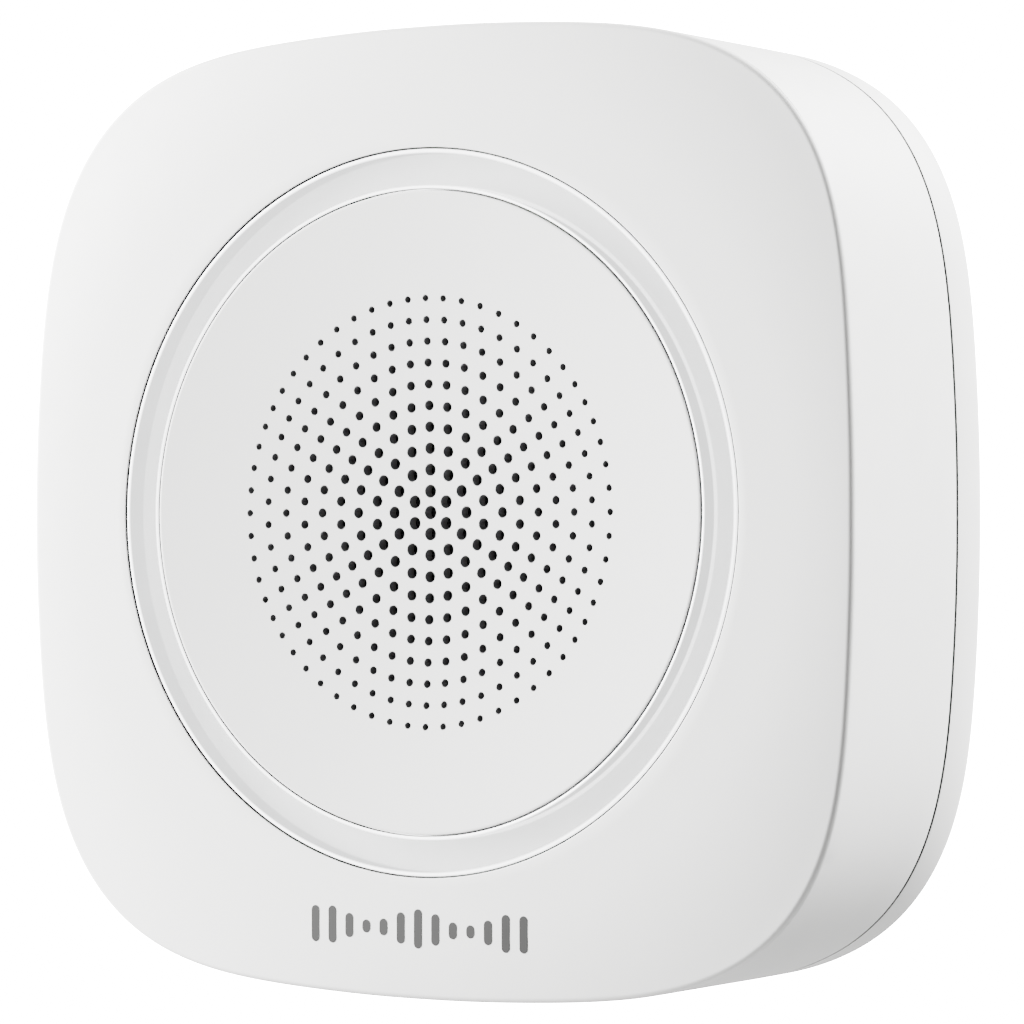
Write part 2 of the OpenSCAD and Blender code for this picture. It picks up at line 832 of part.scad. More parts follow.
module enrol_button() {
    color("black") rod(enrol_at[0], enrol_at[1], board_back_y + 1.8, pocket_back_y - 0.2, 1.75);
}

module power_switch() {
    color("silver") translate([power_at[0], 0, power_at[1]]) difference() {
        block([-4.3, board_back_y, -1.8], [4.3, board_back_y + 3.6, 1.8]);
        block([-2.8, board_back_y + 1, -1.1], [2.8, 0, 1.1]);
    }
}

module power_slider() {
    color("black") translate([power_at[0], 0, power_at[1]])
        block([-2.6, board_back_y + 1.2, -0.95], [-0.4, pocket_back_y - 0.4, 0.95]);
}

wall_plate();
lock_insert();
lock_screw();
front_cover();
light_ring();
diffuser_ring();
reflector_ring();
led_board();
strobe_leds();
led_board_screws();
grille_disc();
dust_mesh();
sounder_gasket();
sounder_cap();
sounder_cup();
sounder_screws();
piezo_plate();
piezo_ceramic();
sounder_lead_red();
sounder_lead_black();
sounder_plug();
sounder_socket();
led_leads();
led_plug();
led_socket();
main_board();
board_screws();
radio_can();
antenna();
controller_chip();
audio_driver_chip();
boost_coil();
capacitors();
chip_parts();
rear_chassis();
chassis_screws();
cell(-1, 0);  // cell_1
cell(-1, 1);  // cell_2
cell(1, 0);  // cell_3
cell(1, 1);  // cell_4
cell_springs();
cell_plates();
tamper_switch();
tamper_spring();
tamper_plunger();
enrol_switch();
enrol_button();
power_switch();
power_slider();
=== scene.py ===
import json
import math

import bmesh
import bpy
import numpy as np
from mathutils import Matrix, Vector
from mathutils.geometry import delaunay_2d_cdt


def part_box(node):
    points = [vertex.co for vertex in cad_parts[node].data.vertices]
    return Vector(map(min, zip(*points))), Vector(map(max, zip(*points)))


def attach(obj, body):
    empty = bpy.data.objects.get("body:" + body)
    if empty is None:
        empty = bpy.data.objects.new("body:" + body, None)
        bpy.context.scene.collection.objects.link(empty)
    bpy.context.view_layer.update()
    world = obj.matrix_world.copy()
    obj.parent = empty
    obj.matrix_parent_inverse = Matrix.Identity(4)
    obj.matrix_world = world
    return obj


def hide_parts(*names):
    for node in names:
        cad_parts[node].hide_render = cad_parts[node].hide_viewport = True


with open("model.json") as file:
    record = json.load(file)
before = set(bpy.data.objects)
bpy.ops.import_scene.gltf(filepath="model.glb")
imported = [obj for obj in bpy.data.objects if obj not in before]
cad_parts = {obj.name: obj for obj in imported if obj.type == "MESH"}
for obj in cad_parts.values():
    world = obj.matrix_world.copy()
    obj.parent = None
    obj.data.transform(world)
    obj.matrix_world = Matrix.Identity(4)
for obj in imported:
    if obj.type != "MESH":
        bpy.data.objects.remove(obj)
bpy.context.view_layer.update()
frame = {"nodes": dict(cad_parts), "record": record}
record = frame["record"]
MM = 0.001

# ---- Driving dimensions, in millimetres, read from the frame where a node shows them ----


def node_box(name):
    """Low and high corner of a CAD node, in millimetres."""
    low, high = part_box(name)
    return np.array(low) / MM, np.array(high) / MM


COVER_LOW, COVER_HIGH = node_box("front_cover")
PLATE_LOW, PLATE_HIGH = node_box("wall_plate")
RING_LOW, RING_HIGH = node_box("light_ring")
GRILLE_LOW, GRILLE_HIGH = node_box("grille_disc")
HALF_W = COVER_HIGH[0]
FRONT_Y = COVER_LOW[1]
if GRILLE_LOW[1] < FRONT_Y:
    FRONT_Y = GRILLE_LOW[1]
COVER_BACK_Y = COVER_HIGH[1]
SQUARENESS = 2.64
CORNER_REACH = 0.074
CROWDING = math.radians(8)
WALL = 2.0
LIP = 0.5
REBATE = 0.7
SEAM = 0.35
# How far from the outline the painted seam shadow reaches, on the cover's lip and the plate's rim.
SEAM_SHADE = 0.6
PLATE_FRONT_Y = COVER_BACK_Y + SEAM
PLATE_FLOOR = 2.5
DRAFT = 0.14
FILLET_R = 0.72
MARK_ROOM = 0.02
DOME_DROP = 1.42
DOME_START_R = 49.3
DOME_END_R = 67.0
FACE_BACK_Y = FRONT_Y + 2.0
SEAT_Y = FRONT_Y + 1.1
SEAT_R = 44.15
RING_OUTER_R = 42.3
OPENING_R = RING_OUTER_R + 0.19
RING_RIM_Y = FRONT_Y + 0.1
RIM_Y = FRONT_Y + 0.25
DISC_R = GRILLE_HIGH[0]
RING_INNER_R = DISC_R + 0.2
DISH_CENTRE_Y = FRONT_Y + 2.7
DISH_R = DISC_R - 0.3
DISC_T = 1.4
HOLE_PITCH = 2.5
HOLE_RINGS = 10
CENTRE_HOLE_D = 1.6
OUTER_HOLE_D = 0.8
STATIONS = 480
ROD_SIDES = 48
MERGE_DISTANCE = 1e-4


def mm(point):
    """A point in millimetres as a Vector in metres."""
    return Vector(point) * MM


# ---- Mesh helpers ----


def mesh_object(name, verts, faces, body, *nodes, **looks):
    """A smooth-shaded object from points in millimetres.

    It rides on a body and stands for CAD nodes."""
    mesh = bpy.data.meshes.new(name)
    mesh.from_pydata([tuple(v) for v in verts], [], faces)
    return finish_mesh(name, mesh, body, *nodes, **looks)


def clean(mesh, merge=True):
    """Merges points that lie on each other, unless merge is off, and turns the faces outwards."""
    bm = bmesh.new()
    bm.from_mesh(mesh)
    if merge:
        bmesh.ops.remove_doubles(bm, verts=bm.verts, dist=MERGE_DISTANCE)
    bmesh.ops.recalc_face_normals(bm, faces=bm.faces)
    bm.to_mesh(mesh)
    bm.free()
    return mesh


def finish_mesh(name, mesh, body, *nodes, material, slot, sharp_deg=30.0, second=None):
    """Cleans a mesh in millimetres and makes it a shaded object in metres, tied to the frame.

    second: another material, and a test of a face's centre and normal for where it goes."""
    clean(mesh)
    mesh.materials.clear()
    mesh.materials.append(material)
    if second:
        mesh.materials.append(second[0])
        for face in mesh.polygons:
            face.material_index = 1 if second[1](face.center, face.normal) else 0
    mesh.transform(Matrix.Scale(MM, 4))
    mesh.polygons.foreach_set("use_smooth", [True] * len(mesh.polygons))
    mesh.set_sharp_from_angle(angle=math.radians(sharp_deg))
    obj = bpy.data.objects.new(name, mesh)
    bpy.context.scene.collection.objects.link(obj)
    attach(obj, body)
    if nodes:
        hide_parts(*nodes)
    return obj


def solid_from(verts, faces):
    """A bare mesh in millimetres, for use in booleans."""
    mesh = bpy.data.meshes.new("solid")
    mesh.from_pydata([tuple(v) for v in verts], [], faces)
    return clean(mesh, merge=False)


def join_meshes(meshes):
    """Several closed meshes as one, without merging them."""
    bm = bmesh.new()
    for mesh in meshes:
        bm.from_mesh(mesh)
    joined = bpy.data.meshes.new("joined")
    bm.to_mesh(joined)
    bm.free()
    return joined


def boolean(mesh, operation, tool, crossing=False):
    """The exact boolean of two closed meshes.

    crossing: the tool's own solids run into each other."""
    a = bpy.data.objects.new("boolean_a", mesh)
    b = bpy.data.objects.new("boolean_b", tool)
    for o in (a, b):
        bpy.context.scene.collection.objects.link(o)
    modifier = a.modifiers.new("boolean", "BOOLEAN")
    modifier.operation = operation
    modifier.solver = "EXACT"
    modifier.use_self = crossing
    modifier.object = b
    graph = bpy.context.evaluated_depsgraph_get()
    result = bpy.data.meshes.new_from_object(a.evaluated_get(graph))
    bpy.data.objects.remove(a)
    bpy.data.objects.remove(b)
    return result


def extruded(near, far):
    """A solid between two flat outlines of (x, y, z) points, with as many corners each."""
    n = len(near)
    sides = [(i, (i + 1) % n, n + (i + 1) % n, n + i) for i in range(n)]
    caps = [tuple(range(n - 1, -1, -1)), tuple(range(n, 2 * n))]
    return solid_from(near + far, sides + caps)


def circle(x, y, r, sides=ROD_SIDES):
    """Points round a centre in a plane."""
    angles = [2 * math.pi * i / sides for i in range(sides)]
    return [(x + r * math.cos(a), y + r * math.sin(a)) for a in angles]


def prism(points, y0, y1):
    """A solid with an outline of (x, z) points, from y0 to y1."""
    return extruded([(x, y0, z) for x, z in points], [(x, y1, z) for x, z in points])


def rod(x, z, y0, y1, r):
    """A round rod along Y."""
    return prism(circle(x, z, r), y0, y1)


def upright_prism(points, z0, z1):
    """A solid with an outline of (x, y) points, from z0 to z1."""
    return extruded([(x, y, z0) for x, y in points], [(x, y, z1) for x, y in points])


def upright_rod(x, y, z0, z1, r):
    """A round rod along Z."""
    return upright_prism(circle(x, y, r), z0, z1)


def block(low, high):
    """A box from its low and high corners."""
    x, y, z = zip(low, high)
    return prism([(x[0], z[0]), (x[1], z[0]), (x[1], z[1]), (x[0], z[1])], y[0], y[1])


def across(points, x0, x1):
    """A solid with an outline of (y, z) points, from x0 to x1."""
    return extruded([(x0, y, z) for y, z in points], [(x1, y, z) for y, z in points])


def arc(centre, r, start_deg, end_deg, steps):
    """Points on an arc in a plane."""
    angles = [math.radians(start_deg + (end_deg - start_deg) * i / steps) for i in range(steps + 1)]
    return [(centre[0] + r * math.cos(a), centre[1] + r * math.sin(a)) for a in angles]


def turned_faces(profile, segments):
    """Verts and faces of a closed (r, y) profile turned about Y."""
    rows = len(profile)
    verts = []
    for i in range(segments):
        a = 2 * math.pi * i / segments
        verts += [(r * math.cos(a), y, r * math.sin(a)) for r, y in profile]
    faces = []
    for i in range(segments):
        j = (i + 1) % segments
        for k in range(rows):
            m = (k + 1) % rows
            faces.append((i * rows + k, j * rows + k, j * rows + m, i * rows + m))
    return verts, faces


# ---- The housing's outline ----


def outline_point(angle):
    """Where the rounded square crosses an angle from the centre."""
    c, d = abs(math.cos(angle)), abs(math.sin(angle))
    r = HALF_W * (1 + CORNER_REACH * math.sin(2 * angle) ** 4)
    r /= (c ** SQUARENESS + d ** SQUARENESS) ** (1 / SQUARENESS)
    return r * math.cos(angle), r * math.sin(angle)


def outline(inset):
    """The rounded square moved inwards; its points stand closer together at the corners."""
    points = []
    nudge = math.radians(0.5)
    for i in range(STATIONS):
        even = 2 * math.pi * i / STATIONS
        angle = even + CROWDING * math.sin(4 * even)
        x, z = outline_point(angle)
        x0, z0 = outline_point(angle - nudge)
        x1, z1 = outline_point(angle + nudge)
        length = math.hypot(x1 - x0, z1 - z0)
        points.append((x - inset * (z1 - z0) / length, z + inset * (x1 - x0) / length))
    return points


def outline_height(x):
    """Height of the rounded square's top above a place on X."""
    low, high = math.radians(45), math.radians(90)
    for _ in range(30):
        middle = (low + high) / 2
        if outline_point(middle)[0] > abs(x):
            low = middle
        else:
            high = middle
    return outline_point(low)[1]


def dome_y(r):
    """Depth of the front surface at a radius from the centre."""
    t = max(0.0, min(1.2, (r - DOME_START_R) / (DOME_END_R - DOME_START_R)))
    return FRONT_Y + MARK_ROOM + DOME_DROP * t * t


def loft(rows, cap_start=False, cap_end=False):
    """Verts and faces that join rows of equal numbers of points into a closed band."""
    n = len(rows[0])
    verts = [p for row in rows for p in row]
    faces = []
    for k in range(len(rows) - 1):
        for i in range(n):
            j = (i + 1) % n
            faces.append((k * n + i, k * n + j, (k + 1) * n + j, (k + 1) * n + i))
    if cap_start:
        faces.append(tuple(range(n)))
    if cap_end:
        faces.append(tuple((len(rows) - 1) * n + i for i in range(n - 1, -1, -1)))
    return verts, faces


def flat_row(inset, y):
    """One row of the outline at one depth."""
    return [(x, y, z) for x, z in outline(inset)]


# ---- Front cover ----


def round_row(rim, r, y):
    """A row on a circle, with its points at the angles of a rim's points."""
    return [(x / math.hypot(x, z) * r, y, z / math.hypot(x, z) * r) for x, z in rim]


def cover_face_rows():
    """Rows from the fillet's face edge inwards to the light ring's opening."""
    edge_inset = DRAFT + FILLET_R
    rim = outline(edge_inset)
    lip_r = 0.12
    steps = 14
    rows = []
    for k in range(1, steps + 1):
        t = k / steps
        row = []
        for x, z in rim:
            r = math.hypot(x, z)
            reach = r + (OPENING_R + lip_r - r) * t
            row.append((x / r * reach, dome_y(reach), z / r * reach))
        rows.append(row)
    for r, y in arc((OPENING_R + lip_r, dome_y(0) + lip_r), lip_r, -90, -180, 4)[1:]:
        rows.append(round_row(rim, r, y))
    for r, y in ((OPENING_R, SEAT_Y), (SEAT_R, SEAT_Y), (SEAT_R, FACE_BACK_Y)):
        rows.append(round_row(rim, r, y))
    return rows


def cover_fillet_rows():
    """Rows round the edge between the side and the face; the edge follows the dome."""
    inner = outline(DRAFT + FILLET_R)
    rows = []
    steps = 8
    for step in range(steps + 1):
        a = math.radians(90 * step / steps)
        ring = outline(DRAFT + FILLET_R * (1 - math.cos(a)))
        row = []
        for (x, z), (ix, iz) in zip(ring, inner):
            face_y = dome_y(math.hypot(ix, iz))
            row.append((x, face_y + FILLET_R * (1 - math.sin(a)), z))
        rows.append(row)
    return rows


def cover_shell():
    """The housing's shell as a closed mesh, before the bosses and the lock screw's slot."""
    edge_r = 0.15
    cavity_taper, cavity_step = 0.6, 0.01
    outer_back = [flat_row(LIP, COVER_BACK_Y), flat_row(edge_r, COVER_BACK_Y)]
    outer_back.append(flat_row(edge_r * 0.3, COVER_BACK_Y - edge_r * 0.3))
    side = []
    side_end_y = FRONT_Y + FILLET_R + 0.3
    for t in (0.02, 0.15, 0.35, 0.6, 0.85, 0.97):
        side.append(flat_row(DRAFT * t, COVER_BACK_Y + (side_end_y - COVER_BACK_Y) * t))
    rebate_y = COVER_BACK_Y - REBATE
    inner = [flat_row(WALL + cavity_taper, FACE_BACK_Y), flat_row(WALL, rebate_y - cavity_step),
             flat_row(WALL, rebate_y), flat_row(LIP, rebate_y)]
    rows = outer_back + side + cover_fillet_rows() + cover_face_rows() + inner
    verts, faces = loft(rows + [rows[0]])
    return solid_from(verts, faces)


LOCK_Y = 11.8
BOSS_AT = (36.0, 43.0)
BOSS_R, BOSS_BACK_Y = 3.2, -10.8
BOSS_PILOT_R, BOSS_PILOT_Y = 1.25, -22.8
BOSS_ROOT = 0.5
TAB_CIRCLE_R = 47.2
TAB_BOSS_R, TAB_BOSS_Y = 2.8, FRONT_Y + 6.25
TAB_PILOT_R, TAB_PILOT_DEPTH = 1.05, 3.5
LOCK_PAD_HALF_W, LOCK_PAD_TIP_Y = 6.5, -15.5
# Radius of the lock screw's slot and of its head's recess, and how high each reaches
LOCK_SLOT = (1.75, 5.0)
LOCK_RECESS = (3.0, 1.55)


def corner_places(x, z):
    """The four corners at plus and minus x and z."""
    return [(sx * x, sz * z) for sx in (-1, 1) for sz in (-1, 1)]


def circle_places(count, r, start_deg):
    """Places at equal angles on a circle."""
    angles = [math.radians(start_deg + 360 * i / count) for i in range(count)]
    return [(r * math.cos(a), r * math.sin(a)) for a in angles]


def inset_of(place):
    """How far a place lies inside the outline, along its own radius."""
    x, z = outline_point(math.atan2(place.z, place.x))
    return math.hypot(x, z) - math.hypot(place.x, place.z)


def in_cover_gap(centre, normal):
    """The opening's edge beside the light ring, and the lip's back behind the seam: the faces
    painted in gap shadow.
    """
    r = math.hypot(centre.x, centre.z)
    opening = abs(r - OPENING_R) < 0.03 and abs(normal.y) < 0.3
    lip = centre.y > COVER_BACK_Y - 0.65 and 0.25 < inset_of(centre) < SEAM_SHADE
    return opening or lip


def on_plate_rim(centre, normal):
    """The outermost strip of the wall plate's front rim, behind the seam, painted in gap shadow."""
    return abs(centre.y - PLATE_FRONT_Y) < 0.13 and 0.05 < inset_of(centre) < SEAM_SHADE


def in_grille_gap(centre, normal):
    """Bores of the sound holes, and the disc's edge beside the light ring: the faces painted in
    shade.
    """
    r = math.hypot(centre.x, centre.z)
    bore = r < (HOLE_RINGS + 0.5) * HOLE_PITCH and centre.y < DISH_CENTRE_Y + DISC_T
    return (bore and abs(normal.y) < 0.85) or (abs(r - DISC_R) < 0.03 and abs(normal.y) < 0.3)


def build_front_cover(material, shadow):
    """The housing's shell with its bosses, the wedge behind the lock screw and its slot."""
    low = -HALF_W
    root_y, rebate_y = FACE_BACK_Y - BOSS_ROOT, COVER_BACK_Y - REBATE
    tab_places = circle_places(4, TAB_CIRCLE_R, 45)
    cover = clean(cover_shell())
    bosses = [rod(x, z, root_y, BOSS_BACK_Y, BOSS_R) for x, z in corner_places(*BOSS_AT)]
    bosses += [rod(x, z, root_y, TAB_BOSS_Y, TAB_BOSS_R) for x, z in tab_places]
    pad = [(rebate_y, low + 1.4), (LOCK_PAD_TIP_Y, low + 1.4), (LOCK_PAD_TIP_Y, low + 4.3),
           (rebate_y, low + 3.15)]
    bosses.append(across(pad, -LOCK_PAD_HALF_W, LOCK_PAD_HALF_W))
    cover = boolean(cover, "UNION", join_meshes(bosses))
    holes = [rod(x, z, BOSS_PILOT_Y, -9, BOSS_PILOT_R) for x, z in corner_places(*BOSS_AT)]
    holes += [rod(x, z, TAB_BOSS_Y - TAB_PILOT_DEPTH, -20, TAB_PILOT_R) for x, z in tab_places]
    cover = boolean(cover, "DIFFERENCE", join_meshes(holes))
    for r, height in (LOCK_SLOT, LOCK_RECESS):
        slot_outline = arc((0, -LOCK_Y), r, 180, 360, 24) + [(r, 0.0), (-r, 0.0)]
        cover = boolean(cover, "DIFFERENCE", upright_prism(slot_outline, low - 3, low + height))
    return finish_mesh("front_cover_shell", cover, "unit", "front_cover", material=material,
                       slot="white_plastic", sharp_deg=22, second=(shadow, in_cover_gap))


# ---- Wall plate ----

SCREW_AT = 28.0
PIVOT = (-2.0, HALF_W - 3.5)
HOOK_X = 11.5
HOOK_W = 7.0
TAMPER_AT = (12.0, -20.0)
TAMPER_HOLE_R = 3.2
SCREW_BOSS_R, SCREW_HOLE_R, COUNTERBORE_R = 5.6, 2.2, 4.3
COUNTERBORE_LEFT = 0.2
RIB_HEIGHT, RIB_HALF_W, RIB_ROOT = 1.2, 0.6, 0.3
UPRIGHT_RIB_X, UPRIGHT_RIB_END = 20, 44
CROSS_RIB_Z, CROSS_RIB_END = 36, 31
LOCK_TAB_HALF_W, LOCK_TAB_TIP_Y = 5, -15.2
LOCK_BORE_R, INSERT_BORE_R = 1.6, 2.2


def hook_span(side):
    """Where the pocket of one hook starts and ends on X."""
    return side * HOOK_X - HOOK_W / 2 - 1, side * HOOK_X + HOOK_W / 2 + 1


def build_wall_plate(material, shadow):
    """The wall plate as a tray, with ribs, screw places, the lock's tab and the hooks' slots."""
    edge = [(SEAM_SHADE, 0.0), (0.3, 0.0), (0.15, 0.04), (0.04, 0.15), (0.0, 0.3)]
    back_round = [(0.0, -3.0), (0.0, -2.2), (0.08, -1.55), (0.3, -0.98), (0.68, -0.48),
                  (1.15, -0.16), (1.7, -0.02), (1.9, 0.0)]
    rows = [flat_row(inset, PLATE_FRONT_Y + y) for inset, y in edge]
    rows += [flat_row(inset, y) for inset, y in back_round]
    rows.append(flat_row(4.0, 0.0))
    inner_floor = [flat_row(WALL + 0.8, -PLATE_FLOOR), flat_row(WALL + 0.24, -PLATE_FLOOR - 0.24),
                   flat_row(WALL, -PLATE_FLOOR - 0.8), flat_row(WALL, PLATE_FRONT_Y)]
    outer_verts, outer_faces = loft(rows, cap_end=True)
    inner_verts, inner_faces = loft([flat_row(6.0, -PLATE_FLOOR)] + inner_floor, cap_start=True)
    n = STATIONS
    offset = len(outer_verts)
    faces = outer_faces + [tuple(offset + i for i in f) for f in inner_faces]
    last = offset + len(inner_verts) - n
    faces += [(last + i, last + (i + 1) % n, (i + 1) % n, i) for i in range(n)]
    plate = solid_from(outer_verts + inner_verts, faces)
    screw_places = corner_places(SCREW_AT, SCREW_AT)
    low = -HALF_W
    rib_y, root_y = -PLATE_FLOOR - RIB_HEIGHT, -PLATE_FLOOR + RIB_ROOT
    ribs = []
    for s in (-1, 1):
        x, z = s * UPRIGHT_RIB_X, s * CROSS_RIB_Z
        ribs.append(block((x - RIB_HALF_W, rib_y, -UPRIGHT_RIB_END),
                          (x + RIB_HALF_W, root_y, UPRIGHT_RIB_END)))
        ribs.append(block((-CROSS_RIB_END, rib_y, z - RIB_HALF_W),
                          (CROSS_RIB_END, root_y, z + RIB_HALF_W)))
    ribs += [rod(x, z, rib_y, root_y, SCREW_BOSS_R) for x, z in screw_places]
    tab = [(root_y, low + 1.4), (PLATE_FRONT_Y, low + 1.4), (PLATE_FRONT_Y, low + 3.4),
           (LOCK_TAB_TIP_Y, low + 4.6), (LOCK_TAB_TIP_Y, low + 8), (root_y, low + 8.4)]
    ribs.append(across(tab, -LOCK_TAB_HALF_W, LOCK_TAB_HALF_W))
    for s in (-1, 1):
        x0, x1 = hook_span(s)
        top = outline_height(max(abs(x0), abs(x1))) - WALL / 2
        ribs.append(block((x0, PIVOT[0] - 3.0, PIVOT[1] + 0.3), (x1, PIVOT[0] - 0.9, top)))
        ribs.append(block((x0, -4.2, PIVOT[1] - 8), (x1, root_y, PIVOT[1] - 5.6)))
    ribs = boolean(ribs[0], "UNION", join_meshes(ribs[1:]), crossing=True)
    plate = boolean(plate, "UNION", ribs)
    cuts = [rod(*TAMPER_AT, -10, 1, TAMPER_HOLE_R)]
    cuts += [rod(x, z, -10, 1, SCREW_HOLE_R) for x, z in screw_places]
    for s in (-1, 1):
        x0, x1 = hook_span(s)
        cuts.append(block((x0, -PLATE_FLOOR - 0.01, PIVOT[1] - 5.4), (x1, 1, PIVOT[1] + 0.9)))
    cuts.append(upright_rod(0, -LOCK_Y, low + 3, low + 11, LOCK_BORE_R))
    plate = boolean(plate, "DIFFERENCE", join_meshes(cuts))
    counterbores = [rod(x, z, -10, -PLATE_FLOOR - COUNTERBORE_LEFT, COUNTERBORE_R)
                    for x, z in screw_places]
    counterbores.append(upright_rod(0, -LOCK_Y, low + 3, low + 7.8, INSERT_BORE_R))
    plate = boolean(plate, "DIFFERENCE", join_meshes(counterbores))
    return finish_mesh("wall_plate_shell", plate, "base", "wall_plate", material=material,
                       slot="white_plastic", sharp_deg=22, second=(shadow, on_plate_rim))


# ---- Grille disc ----

DISH_DEPTH = DISH_CENTRE_Y - RIM_Y
DISH_SPHERE_R = (DISH_R ** 2 + DISH_DEPTH ** 2) / (2 * DISH_DEPTH)
SKIRT_OUTER_R = 36.2
SKIRT_INNER_R = 34.6
SKIRT_BACK_Y = GRILLE_HIGH[1]
EAR_CIRCLE_R = 31.0
EAR_R, EAR_PILOT_R = 2.2, 0.85
EAR_BACK_Y = FRONT_Y + 6.0
TAB_HALF_W, TAB_THICKNESS = 3, 0.7
TAB_INNER_R, TAB_OUTER_R = SKIRT_INNER_R + 0.2, SKIRT_OUTER_R + 0.8
HOLE_SIDES, RIM_SIDES = 20, 240
HOLE_CHAMFER = 0.03
# How far the rings of holes bend from circles towards hexagons
HEXAGON_SHARE = 0.475


def dish_y(r, thickness=0.0):
    """Depth of the dished surface, or of its back at a thickness."""
    big = DISH_SPHERE_R + thickness
    return DISH_CENTRE_Y - DISH_SPHERE_R + math.sqrt(big * big - r * r)


def hole_places():
    """Centre and radius of each hole, ring by ring."""
    places = [(0.0, 0.0, CENTRE_HOLE_D / 2)]
    for n in range(1, HOLE_RINGS + 1):
        for i in range(6 * n):
            side, t = i // n, (i % n) / n
            even = 60 * t
            hexagonal = math.degrees(math.atan2(t * math.sqrt(3) / 2, 1 - t / 2))
            a = math.radians(90 + 60 * side + even + (hexagonal - even) * HEXAGON_SHARE)
            d = CENTRE_HOLE_D + (OUTER_HOLE_D - CENTRE_HOLE_D) * n / HOLE_RINGS
            places.append((n * HOLE_PITCH * math.cos(a), n * HOLE_PITCH * math.sin(a), d / 2))
    return places


def perforated_sheet(holes, hole_sides, rims, loose_rings):
    """Triangles in a plane between hole edges and the outermost rim.

    holes: (x, z, r) circles to leave open. rims: (r, sides) circles that edges follow.
    loose_rings: (r, sides) circles of points that keep the triangles small."""
    coords, edges = [], []
    hole_start = []
    for x, z, r in holes:
        start = len(coords)
        hole_start.append(start)
        for i in range(hole_sides):
            a = 2 * math.pi * i / hole_sides
            coords.append(Vector((x + r * math.cos(a), z + r * math.sin(a))))
            edges.append((start + i, start + (i + 1) % hole_sides))
    for r, sides in rims:
        start = len(coords)
        for i in range(sides):
            a = 2 * math.pi * i / sides
            coords.append(Vector((r * math.cos(a), r * math.sin(a))))
            edges.append((start + i, start + (i + 1) % sides))
    for r, sides in loose_rings:
        for i in range(sides):
            a = 2 * math.pi * (i + 0.5) / sides
            coords.append(Vector((r * math.cos(a), r * math.sin(a))))
    out = delaunay_2d_cdt(coords, edges, [], 0, 1e-6)
    points, faces, origins = out[0], out[2], out[3]
    lookup = {}
    for new, old in enumerate(origins):
        for o in old:
            lookup[o] = new
    centres = np.array([(x, z) for x, z, r in holes])
    radii = np.array([r for x, z, r in holes])
    outer = max(r for r, sides in rims)
    kept = []
    for f in faces:
        cx = sum(points[i][0] for i in f) / len(f)
        cz = sum(points[i][1] for i in f) / len(f)
        if math.hypot(cx, cz) > outer:
            continue
        gap = np.hypot(centres[:, 0] - cx, centres[:, 1] - cz) - radii
        if gap.min() < 0:
            continue
        kept.append(tuple(f))
    return points, kept, hole_start, lookup


def grille_ears():
    """Three round ears behind the disc that take the sounder's screws."""
    return [rod(x, z, RIM_Y + 1.0, EAR_BACK_Y, EAR_R)
            for x, z in circle_places(3, EAR_CIRCLE_R, 90)]


def grille_tabs():
    """Four small tabs round the skirt's back edge that hold the lamp board."""
    tabs = []
    for x, z in circle_places(4, 1.0, 45):
        corners = ((TAB_INNER_R, -TAB_HALF_W), (TAB_OUTER_R, -TAB_HALF_W),
                   (TAB_OUTER_R, TAB_HALF_W), (TAB_INNER_R, TAB_HALF_W))
        tabs.append(prism([(r * x - w * z, r * z + w * x) for r, w in corners],
                          SKIRT_BACK_Y - TAB_THICKNESS, SKIRT_BACK_Y - 0.001))
    return tabs


def smooth_dish(mesh):
    """Gives the front sheet the normals of the true dish, so its triangles do not show."""
    centre = Vector((0, DISH_CENTRE_Y - DISH_SPHERE_R, 0)) * MM
    normals = [Vector(n.vector) for n in mesh.corner_normals]
    for face in mesh.polygons:
        middle = face.center / MM
        r = math.hypot(middle.x, middle.z)
        if r < DISH_R and face.normal.y < -0.9 and abs(middle.y - dish_y(r)) < 0.2:
            for corner in face.loop_indices:
                place = mesh.vertices[mesh.loops[corner].vertex_index].co
                normals[corner] = (centre - place).normalized()
    mesh.normals_split_custom_set(normals)


